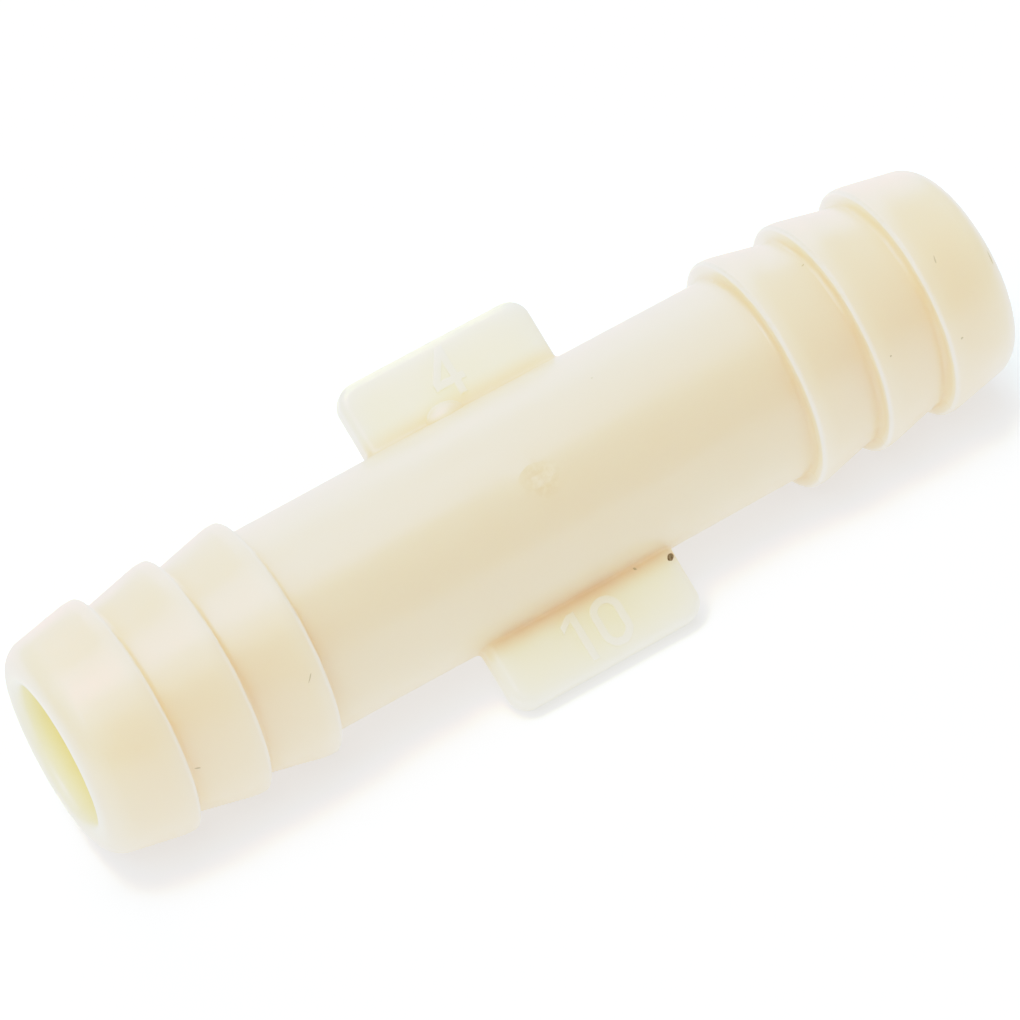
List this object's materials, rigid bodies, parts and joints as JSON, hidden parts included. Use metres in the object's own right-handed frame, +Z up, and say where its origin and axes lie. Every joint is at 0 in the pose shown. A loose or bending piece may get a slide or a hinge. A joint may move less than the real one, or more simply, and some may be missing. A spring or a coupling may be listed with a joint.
{
  "type": "vacuum tubing connector",
  "caption": "Straight moulded plastic connector for vacuum tubing: a bored stem with barbs at both ends and two flat finger wings at its middle.",
  "frame": {"origin": "middle of the bore, half way along it, which is the centre of the whole part", "axes": "+X along the bore, in the direction the raised figures read; +Z up, as it comes to rest on a table: on its barb crests and on the edge of one wing, which stops it from rolling; +Y towards the raised wing. So the wings slope up 39 degrees towards +Y, and the figures are on their upper faces."},
  "size_m": [0.046, 0.0132, 0.011],
  "materials": {
    "moulded_plastic": "unpainted ivory thermoplastic, satin as moulded"
  },
  "bodies": {
    "root": {"connector_body": "moulded_plastic"}
  },
  "joints": []
}
